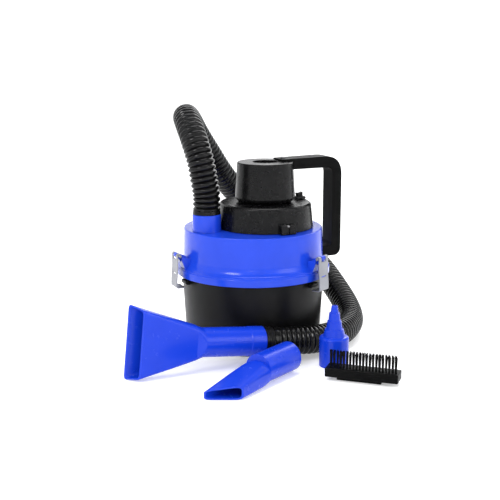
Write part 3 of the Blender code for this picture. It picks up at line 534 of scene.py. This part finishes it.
def hose_line(spacing):
    """Points along the hose's middle, from its port cuff to its nozzle cuff."""
    place = nozzle_frame()
    straight_start, straight_end = 0.0185, 0.0150
    start = Vector((PORT_X, PORT_Y, CUFF_TOP_Z + HOSE_GAP))
    end = place @ Vector((-CUFF_SHOWS - HOSE_GAP, 0, 0))
    before_end = place @ Vector((-CUFF_SHOWS - straight_end, 0, 0))
    rise = start + Vector((0, 0, straight_start))
    route = [start, rise, *(Vector(p) for p in HOSE_ROUTE), before_end, end]
    return smooth_route(route, spacing)


def hose_skin(line, steps):
    """Points and faces of the corrugated hose round its line, with steps points to a ridge."""
    total = sum((b - a).length for a, b in zip(line, line[1:]))
    plain_start, plain_end, plain_groove = 0.0015, 0.0050, 0.0002
    groove_share, inset, sides = 0.19, 0.0001, 30
    rings, along = [], 0.0
    side = Vector((1, 0, 0))
    for i, here in enumerate(line):
        ahead = (line[min(i + 1, len(line) - 1)] - line[max(i - 1, 0)]).normalized()
        side = (side - ahead * side.dot(ahead)).normalized()
        up = ahead.cross(side)
        if i:
            along += (here - line[i - 1]).length
        phase = (i % steps) / steps
        groove = HOSE_GROOVE * math.exp(-(((phase - 0.5) / groove_share) ** 2))
        if along < plain_start or along > total - plain_end:
            groove = plain_groove
        radius = HOSE_R - inset - groove
        ring = []
        for k in range(sides):
            angle = 2 * math.pi * k / sides
            ring.append(here + side * radius * math.cos(angle) + up * radius * math.sin(angle))
        rings.append(ring)
    return loft(rings, capped=True)


def make_cuffs():
    """The cuff in the lid's port and the cuff in the wide nozzle."""
    segments, seat, spigot_r = 80, 0.0003, 0.0155
    port_cuff = lathe(
        "port_cuff",
        [(CUFF_BORE_R, CUFF_TOP_Z, 0), (0.0175, CUFF_TOP_Z, 0.0008), (CUFF_R, 0.1790, 0.0004),
         (CUFF_R, PORT_TOP_Z + seat, 0.0003), (0.0157, PORT_TOP_Z + seat, 0),
         (0.0157, 0.1575, 0.0005), (CUFF_BORE_R, 0.1575, 0.0005)],
        "black_satin", "lid", "hose_cuff_port", at=(PORT_X, PORT_Y, 0), segments=segments,
    )
    profile = soften([
        (CUFF_BORE_R, CUFF_SHOWS, 0), (0.0177, CUFF_SHOWS, 0.0005), (CUFF_R, 0.0105, 0.0004),
        (CUFF_R, 0.0075, 0.0003), (0.0174, 0.0070, 0.0003), (0.0174, 0.0030, 0.0003),
        (CUFF_R, 0.0025, 0.0003), (CUFF_R, seat, 0.0003), (spigot_r, seat, 0),
        (spigot_r, -0.0300, 0.0005), (CUFF_BORE_R, -0.0300, 0.0005),
    ])
    turn = nozzle_frame() @ Matrix.Rotation(math.radians(-90), 4, "Y")
    shape = placed(turned(profile, True, segments), turn)
    nozzle_cuff = piece("nozzle_cuff", *shape, "black_gloss", "lid", "hose_cuff_nozzle")
    return port_cuff, nozzle_cuff


def make_hose():
    steps = 8
    line = hose_line(HOSE_PITCH / steps)
    hose = piece("hose", *hose_skin(line, steps), "hose_black", "lid", "suction_hose", sharp=60,
                 weighted=False)
    port_cuff, nozzle_cuff = make_cuffs()


make_hose()

# ---------------------------------------------------------------- bucket


def make_bucket():
    """The tapered bucket with a keeper under each latch."""
    lathe(
        "bucket_wall",
        [
            (0, 0.0030), (0.0833, 0.0030, 0.0015), (0.0867, 0.0065, 0.0020),
            (0.0924, 0.1008, 0.0004), (0.0981, 0.1008, 0.0008), (0.0981, 0.0980, 0.0008),
            (0.0948, 0.0968, 0.0010), (0.0919, 0.0460, 0), (0.0918, 0.0455, 0),
            (0.0895, 0.0048, 0.0030), (0.0858, 0.0, 0.0020), (0.0820, 0.0, 0.0006),
            (0.0810, 0.0012, 0.0006), (0.0730, 0.0012, 0.0006), (0.0720, 0, 0.0006), (0, 0),
        ],
        "black_gloss", "canister", "bucket", closed=False, segments=160,
    )
    for name, azimuth in LATCH_AZIMUTHS.items():
        outline = soften([(0.0936, 0.0853), (0.0980, 0.0853, 0.0015), (0.0995, 0.0870, 0.0010),
                          (0.0995, 0.0903, 0.0008), (0.0936, 0.0903)], steps=5)
        shape = placed(prism(outline, KEEPER_WIDTH), about(math.radians(azimuth)))
        bevel(piece(f"keeper_{name}", *shape, "black_gloss", "canister"), 0.0007)


make_bucket()

# ---------------------------------------------------------------- lid


def make_lid():
    """The lid's shell with its dome, flare and flange, open under the motor and the port."""
    lid = lathe(
        "lid_dome",
        [
            (0, LID_TOP_Z), (0.0918, LID_TOP_Z, 0.0016), (0.0931, 0.1160, 0.0300),
            (0.0948, 0.1110, 0.0200), (0.0975, 0.1075, 0.0120), (0.1006, 0.1058, 0.0005),
            (0.1008, 0.1045, 0.0003), (0.1020, 0.1041, 0.0010), (0.1020, 0.0950, 0.0006),
            (0.0998, 0.0950, 0.0005),
            (0.0996, 0.1033, 0.0006), (0.0915, 0.1033, 0.0004), (0.0905, 0.1075, 0),
            (0.0890, 0.1500, 0.0020), (0.0865, 0.1525, 0.0010), (0, 0.1525),
        ],
        "blue_gloss", "lid", "lid_shell", closed=False, segments=160,
    )
    low, high = LID_TOP_Z - 0.015, LID_TOP_Z + 0.015
    head_hole = cylinder(0.0450, (HEAD_X, 0, low), (HEAD_X, 0, high), 96)
    port_hole = cylinder(0.0166, (PORT_X, PORT_Y, low), (PORT_X, PORT_Y, high), 64)
    cut(lid, head_hole, port_hole)


def make_latch_bosses():
    """The three bosses under the lid's edge, each with the tongue that holds a latch pin."""
    for name, azimuth in LATCH_AZIMUTHS.items():
        place = about(math.radians(azimuth))
        outline = soften([(0.0905, 0.1050), (0.0995, 0.1050, 0.0004), (0.1045, 0.1180, 0.0010),
                          (0.1047, 0.1235, 0.0014), (0.0905, 0.1195)], steps=5)
        shape = placed(prism(outline, BOSS_WIDTH), place)
        bevel(piece(f"lid_boss_{name}", *shape, "blue_gloss", "lid"), 0.0008)
        outline = [(0.0970, 0.1160), (0.1040, 0.1160)]
        outline += arc((LATCH_PIN_R, LATCH_PIN_Z), TONGUE_R, -40, 100, 16) + [(0.0970, 0.1230)]
        shape = placed(prism(outline, TONGUE_WIDTH), place)
        tongue = piece(f"lid_tongue_{name}", *shape, "blue_gloss", "lid")
        bevel(tongue, 0.0004, 2, 50)
        ends = [(LATCH_PIN_R, y, LATCH_PIN_Z) for y in (-0.02, 0.02)]
        cut(tongue, placed(cylinder(PIN_HOLE_R, *ends, 24), place))


def make_port():
    lathe(
        "port_collar",
        [
            (0.0161, PORT_TOP_Z, 0.0004), (0.0180, PORT_TOP_Z, 0.0006),
            (0.0187, PORT_TOP_Z - 0.0010, 0.0008), (0.0187, 0.1561, 0.0003),
            (0.0190, 0.1553, 0.0002), (0.0163, 0.1553, 0), (0.0163, 0.1400, 0.0004),
            (0.0140, 0.1400, 0.0004), (0.0140, 0.1570, 0), (0.0161, 0.1570, 0),
        ],
        "blue_gloss", "lid", "inlet_port", at=(PORT_X, PORT_Y, 0), segments=96,
    )


make_lid()
make_latch_bosses()
make_port()

# ---------------------------------------------------------------- motor head


def make_head():
    """The motor housing's drum with its screw lugs, and the cap on top of it."""
    at = (HEAD_X, 0, 0)
    lathe(
        "head_drum",
        [
            (0.0310, 0.1960, 0.0004), (0.0335, 0.1960, 0.0006), (0.0335, 0.1888, 0.0012),
            (0.0350, 0.1880, 0.0012), (0.0585, 0.1880, 0.0010), (0.0610, 0.1860, 0.0026),
            (0.0640, 0.1553, 0.0003), (0.0612, 0.1553, 0.0003), (0.0585, 0.1855, 0.0010),
            (0.0310, 0.1855, 0.0004),
        ],
        "black_satin", "lid", "motor_housing", at=at, segments=140,
    )
    for k, azimuth in enumerate(LUG_AZIMUTHS):
        place = about(math.radians(azimuth), at)
        outline = soften([(0.0605, 0.1556), (0.0718, 0.1556, 0.0004), (0.0718, 0.1672, 0.0014),
                          (0.0700, 0.1683, 0.0010), (0.0605, 0.1683)], steps=4)
        shape = placed(prism(outline, LUG_WIDTH), place)
        lug = piece(f"head_lug_{k + 1}", *shape, "black_satin", "lid")
        bevel(lug, 0.0008)
        screw_seat = cylinder(0.0036, (0.0688, 0, 0.1650), (0.0688, 0, 0.1720))
        slit = box((0.0030, 0.0022, 0.0080), (0.0718, 0, 0.1598))
        cut(lug, placed(screw_seat, place), placed(slit, place))
    lathe(
        "head_cap",
        [
            (0.0170, 0.2410, 0.0005), (0.0362, 0.2410, 0.0006), (0.0370, 0.2402, 0.0008),
            (0.0392, 0.2040, 0), (0.0396, 0.1950, 0.0016), (0.0385, 0.1919, 0.0016),
            (0.0362, 0.1897, 0.0006), (0.0342, 0.1897, 0.0004), (0.0368, 0.1950, 0),
            (0.0345, 0.2380, 0.0010), (0.0170, 0.2380, 0.0004),
        ],
        "black_satin", "lid", "top_cap", at=at, segments=140,
    )


def make_handle():
    """The C-shaped strap, cut round the cap, with a hole for each of its two screws."""
    outline = soften(
        [
            (0.0182, 0.2413, 0.0006), (0.0330, 0.2413, 0.0002), (0.0330, 0.2300, 0.0004),
            (0.0945, 0.2300, 0.0090), (0.0945, 0.1225, 0.0090), (0.0803, 0.1225, 0.0006),
            (0.0803, 0.1125, 0.0006), (0.0838, 0.1085, 0.0006), (0.1085, 0.1085, 0.0260),
            (0.1085, 0.2455, 0.0260), (0.0182, 0.2440, 0.0010),
        ],
        steps=10,
    )
    place = about(HANDLE_AZIMUTH, (HEAD_X, 0, 0))
    shape = placed(prism(outline, HANDLE_WIDTH), place)
    handle = piece("strap_handle", *shape, "black_deep", "lid", "handle")
    bevel(handle, 0.0026, 4, 50)
    cap = cylinder(CAP_CLEARANCE_R, (0, 0, 0.2200), (0, 0, 0.2414), 96)
    top_hole = cylinder(0.0019, (0.0260, 0, 0.2300), (0.0260, 0, 0.2600))
    foot_hole = cylinder(0.0042, (0.1000, 0, 0.1155), (0.1200, 0, 0.1155))
    cut(handle, *(placed(tool, place) for tool in (cap, top_hole, foot_hole)))


make_head()
make_handle()

# ---------------------------------------------------------------- latches


def make_latch(name, azimuth):
    """A bent strip with its top curled round the pin and its foot turned in to the keeper."""
    loop = CLIP_SHEET / 2 + 0.0017
    path = arc((0, 0), loop, 240, 0, 30)
    path += [(loop, -0.0100), (loop, -0.0180), (loop + 0.0003, -0.0192), (0.0037, -0.0330)]
    path += arc((0.0018, -0.0400), 0.0020, 5, -90, 12) + [(-0.0074, -0.0420)]
    turn = math.radians(azimuth)
    pivot = (LATCH_PIN_R * math.cos(turn), LATCH_PIN_R * math.sin(turn), LATCH_PIN_Z)
    place = about(turn, pivot)
    shape = placed(prism(strip(path, CLIP_SHEET), CLIP_WIDTH), place)
    clip = piece(f"clip_{name}", *shape, "latch_steel", f"latch_{name}", f"latch_clip_{name}")
    tongue_gap = box((0.0120, 0.0100, 0.0100), (0, 0, 0.0005))
    slot = box((0.0060, 0.0110, 0.0016), (loop, 0, -0.0236))
    cut(clip, placed(tongue_gap, place), placed(slot, place))


for latch_name, latch_azimuth in LATCH_AZIMUTHS.items():
    make_latch(latch_name, latch_azimuth)

# ---------------------------------------------------------------- nozzle and loose tools


def oval(half_y, half_z, power, clip=1.0, count=96):
    """A ring of (y, z) points: round at power 2, boxier as power grows, cut flat at clip in Y."""
    found = []
    for i in range(count):
        angle = 2 * math.pi * (i + 0.5) / count
        y, z = math.cos(angle), math.sin(angle)
        y = half_y * math.copysign(abs(y) ** (2 / power), y)
        z = half_z * math.copysign(abs(z) ** (2 / power), z)
        found.append((max(-clip, min(clip, y)), z))
    return found


def slanted(rings, slope):
    """Rings of points from (x, outline, drop) stations, cut at a slant at the last one."""
    found = [[Vector((x, y, z - drop)) for y, z in outline] for x, outline, drop in rings]
    before, last = found[-2], found[-1]
    for i, (a, b) in enumerate(zip(before, last)):
        last[i] = a.lerp(b, 1 + slope * b.y / (b.x - a.x))
    return found


def tube_tool(name, outer, inner, slope, place, body, node):
    """A hollow tool from the stations of its outer and inner skins."""
    skin = slanted(outer, slope) + slanted(inner, slope)[::-1]
    shape = placed(loft(skin, cyclic=True), place)
    piece(name, *shape, "blue_tool", body, node, sharp=28)


def rounds(*stations):
    """Stations of a round tube from (x, radius) pairs."""
    return [(x, oval(radius, radius, 2), 0) for x, radius in stations]


def make_wide_nozzle():
    """A tube that swells into a flat fan, which widens to a slanted mouth."""
    wall, radius, collar = 0.0020, 0.0183, 0.0188
    shoulder, flat, mouth, slope = 0.0790, 0.0890, 0.1647, -0.80
    flat_half, flat_tall, flat_side = 0.0135, 0.0215, 0.0115
    mouth_half, mouth_tall, mouth_side = 0.0100, 0.0445, 0.0095
    outer = rounds((0.0, 0.0182), (0.0006, collar), (0.0192, collar), (0.0198, radius),
                   (shoulder, radius))
    inner = rounds((0.0, 0.0165), (0.0010, TOOL_BORE_R), (0.0740, TOOL_BORE_R))
    for t in (0.12, 0.25, 0.4, 0.55, 0.7, 0.85, 1.0):
        half, side = blend(radius, flat_half, t), blend(radius, flat_side, t)
        tall, power = blend(radius, flat_tall, t**1.5), 2 + 1.6 * t
        outer.append((blend(shoulder, flat, t), oval(half, tall, power, side), 0))
        inside = oval(half - wall, tall - wall, power, side - wall)
        inner.append((0.0760 + 0.0110 * t, inside, 0))
    for t in (0.1, 0.2, 0.3, 0.4, 0.5, 0.6, 0.7, 0.8, 1.0):
        half, side = blend(flat_half, mouth_half, t), blend(flat_side, mouth_side, t)
        tall, power = blend(flat_tall, mouth_tall, t), 3.6 + 5 * t
        x = blend(flat, mouth, t)
        outer.append((x, oval(half, tall, power, side), 0))
        inner.append((x, oval(half - wall, tall - wall, power, side - wall), 0))
    tube_tool("floor_nozzle", outer, inner, slope, nozzle_frame(), "wide_nozzle_body",
              "wide_nozzle")


def make_crevice_tool():
    """A tube that steps down to a flatter one, which runs on the floor to a slanted mouth."""
    radius, wall = 0.0184, 0.0018
    step, mouth, slope = 0.0640, 0.1310, -0.737
    outer = rounds((0.0, 0.0180), (0.0005, radius), (step, radius))
    inner = rounds((0.0, 0.0165), (0.0008, TOOL_BORE_R), (0.0560, TOOL_BORE_R))
    for t in (0.0, 0.1, 0.2, 0.35, 0.5, 0.65, 0.8, 1.0):
        x = blend(step + 0.0003, mouth, t)
        high, wide = blend(0.0146, 0.0072, t), blend(0.0183, 0.0182, t)
        power = 2.3 + 2.7 * t**0.6
        outer.append((x, oval(wide, high, power), radius - high))
        inner.append((x, oval(wide - wall, high - wall, power), radius - high))
    tube_tool("crevice_nozzle", outer, inner, slope, about(CREVICE_YAW, CREVICE_END),
              "crevice_tool_body", "crevice_tool")


def make_adaptor():
    lathe(
        "stepped_cone",
        [
            (0.0028, 0.0770, 0.0003), (0.0039, 0.0770, 0.0005), (0.0050, 0.0683, 0.0001),
            (0.0066, 0.0682, 0.0003), (0.0073, 0.0581, 0.0001), (0.0086, 0.0580, 0.0003),
            (0.0101, 0.0477, 0.0001), (0.0115, 0.0476, 0.0003), (0.0138, 0.0386, 0.0003),
            (0.0166, 0.0382, 0.0012), (0.0184, 0.0362, 0.0020), (0.0184, 0.0003, 0.0004),
            (0.0162, 0.0003, 0.0004), (0.0162, 0.0350, 0.0006), (0.0122, 0.0362, 0.0006),
            (0.0088, 0.0460, 0), (0.0060, 0.0565, 0), (0.0042, 0.0665, 0), (0.0027, 0.0700, 0),
        ],
        "blue_tool", "cone_adaptor_body", "cone_adaptor", at=(ADAPTOR_X, ADAPTOR_Y, 0),
        segments=96,
    )


def make_brush():
    """A block with a tongue under it and rows of bristle tufts on top."""
    place = about(BRUSH_YAW, (BRUSH_X, BRUSH_Y, 0))
    middle = (BRUSH_LOW_Z + BRUSH_TOP_Z) / 2
    block = box((BRUSH_LENGTH, BRUSH_WIDTH, BRUSH_TOP_Z - BRUSH_LOW_Z), (0, 0, middle))
    base = piece("brush_block", *placed(block, place), "black_deep", "brush_body", "brush_base")
    bevel(base, 0.0012)
    tongue = placed(box((0.0540, 0.0100, 0.0048), (-0.0040, 0, 0.0027)), place)
    bevel(piece("brush_tongue", *tongue, "black_deep", "brush_body"), 0.0005)

    verts, faces = [], []
    columns, rows, stagger = 21, 3, -0.222
    long_pitch = (BRUSH_LENGTH - 0.0060) / columns
    cross_pitch = (BRUSH_WIDTH - 0.0070) / rows
    for i in range(columns):
        for j in range(rows):
            y = (j + 0.5 - rows / 2) * cross_pitch
            x = (i + 0.5 - columns / 2) * long_pitch + stagger * y
            add_tuft(verts, faces, Vector((x, y, BRUSH_TOP_Z - 0.001)))
    piece("bristles", *placed((verts, faces), place), "bristle", "brush_body", "brush_bristles",
          weighted=False)


def add_tuft(verts, faces, root):
    """A round tuft of bristles that lean outwards and a little at random."""
    hairs, tuft_r, splay = 22, 0.0010, 0.3
    for _ in range(hairs):
        turn = RANDOM.uniform(0, 2 * math.pi)
        out = tuft_r * math.sqrt(RANDOM.random())
        offset = Vector((out * math.cos(turn), out * math.sin(turn), 0))
        lean = Vector((RANDOM.gauss(0, 0.0004), RANDOM.gauss(0, 0.0005), 0))
        height = Vector((0, 0, RANDOM.uniform(0.0172, 0.0198)))
        foot = root + offset
        add_hair(verts, faces, foot, foot + lean + offset * splay + height)


def add_hair(verts, faces, foot, tip):
    """One bristle: a three-sided filament that narrows a little towards its tip."""
    first = len(verts)
    for centre, radius in ((foot, 0.00040), (tip, 0.00030)):
        for k in range(3):
            angle = 2 * math.pi * k / 3
            verts.append(centre + Vector((radius * math.cos(angle), radius * math.sin(angle), 0)))
    for k in range(3):
        j = (k + 1) % 3
        faces.append((first + k, first + j, first + 3 + j, first + 3 + k))
    faces.append((first + 3, first + 4, first + 5))


make_wide_nozzle()
make_crevice_tool()
make_adaptor()
make_brush()

# ---------------------------------------------------------------- nodes carried over

CARRIED = {
    "black_deep": ["blower_grille"],
    "black_matte": ["inlet_deflector", "filter_cage", "cage_flange", "switch_bezel",
                    "switch_body", "motor_end_bell", "fan_plate", "impeller"],
    "black_gloss": ["switch_rocker"],
    "rubber": ["rim_gasket", "filter_band", "cable_gland"],
    "plain_steel": ["latch_pin_right", "latch_pin_left", "latch_pin_back", "housing_screw_1",
                    "housing_screw_2", "housing_screw_3", "handle_screw_top",
                    "handle_screw_foot", "motor_can", "motor_bracket", "bearing_lower",
                    "bearing_upper", "rotor_shaft", "armature", "impeller_nut"],
    "copper": ["commutator"],
    "magnet": ["magnet_left", "magnet_right", "carbon_brush_left", "carbon_brush_right"],
    "filter": ["filter_sleeve"],
    "float": ["float_cup"],
    "red_wire": ["motor_lead_a"],
    "black_wire": ["motor_lead_b"],
}


def dress_nodes():
    """Gives the nodes that stay their materials and slightly rounded edges."""
    for finish, names in CARRIED.items():
        for name in names:
            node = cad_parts[name]
            node.data.materials.clear()
            node.data.materials.append(LOOKS[finish])
            weld = node.modifiers.new("weld", "WELD")
            weld.merge_threshold = 0.000005
            edges = node.modifiers.new("edges", "BEVEL")
            edges.width = 0.00025
            edges.segments = 2
            edges.limit_method = "ANGLE"
            edges.angle_limit = math.radians(50)
            node.modifiers.new("normals", "WEIGHTED_NORMAL")


dress_nodes()

# ---------------------------------------------------------------- studio


def make_studio():
    """A pale floor that curves up into a wall all round, a pale world and five soft lamps."""
    verts, faces = turned(
        [(0, 0), (2.6, 0), (3.3, 0.12), (3.9, 0.55), (4.3, 1.3), (4.4, 2.4), (4.4, 5.0)],
        closed=False, segments=96,
    )
    mesh = bpy.data.meshes.new("floor")
    mesh.from_pydata(verts, [], faces)
    mesh.shade_smooth()
    floor = bpy.data.objects.new("floor", mesh)
    SCENE.collection.objects.link(floor)
    pale = bpy.data.materials.new("floor_pale")
    pale.use_nodes = True
    shader = pale.node_tree.nodes["Principled BSDF"]
    shader.inputs["Base Color"].default_value = (0.88, 0.88, 0.88, 1)
    shader.inputs["Emission Color"].default_value = (1, 1, 1, 1)
    shader.inputs["Emission Strength"].default_value = 0.30
    shader.inputs["Roughness"].default_value = 0.75
    shader.inputs["Specular IOR Level"].default_value = 0.2
    mesh.materials.append(pale)

    world = bpy.data.worlds.new("studio")
    world.use_nodes = True
    background = world.node_tree.nodes["Background"]
    background.inputs["Color"].default_value = (0.95, 0.97, 1.0, 1)
    background.inputs["Strength"].default_value = 0.50
    SCENE.world = world

    aim = Vector((0, 0, 0.12))
    lamps = {  # place, size and power
        "key": ((-1.3, -1.7, 1.9), 1.0, 38),
        "fill": ((1.9, -1.2, 1.1), 1.4, 14),
        "top": ((0.1, 0.3, 2.3), 1.4, 24),
        "back": ((0.9, 2.0, 1.5), 1.4, 20),
        "band": ((-0.12, -2.2, 0.75), 0.22, 1.6),
    }
    for name, (place, size, power) in lamps.items():
        data = bpy.data.lights.new(name, "AREA")
        data.shape = "DISK"
        data.size = size
        data.energy = power
        lamp = bpy.data.objects.new(name, data)
        lamp.location = place
        lamp.rotation_euler = (aim - lamp.location).to_track_quat("-Z", "Y").to_euler()
        SCENE.collection.objects.link(lamp)
    SCENE.view_settings.view_transform = "Standard"


make_studio()
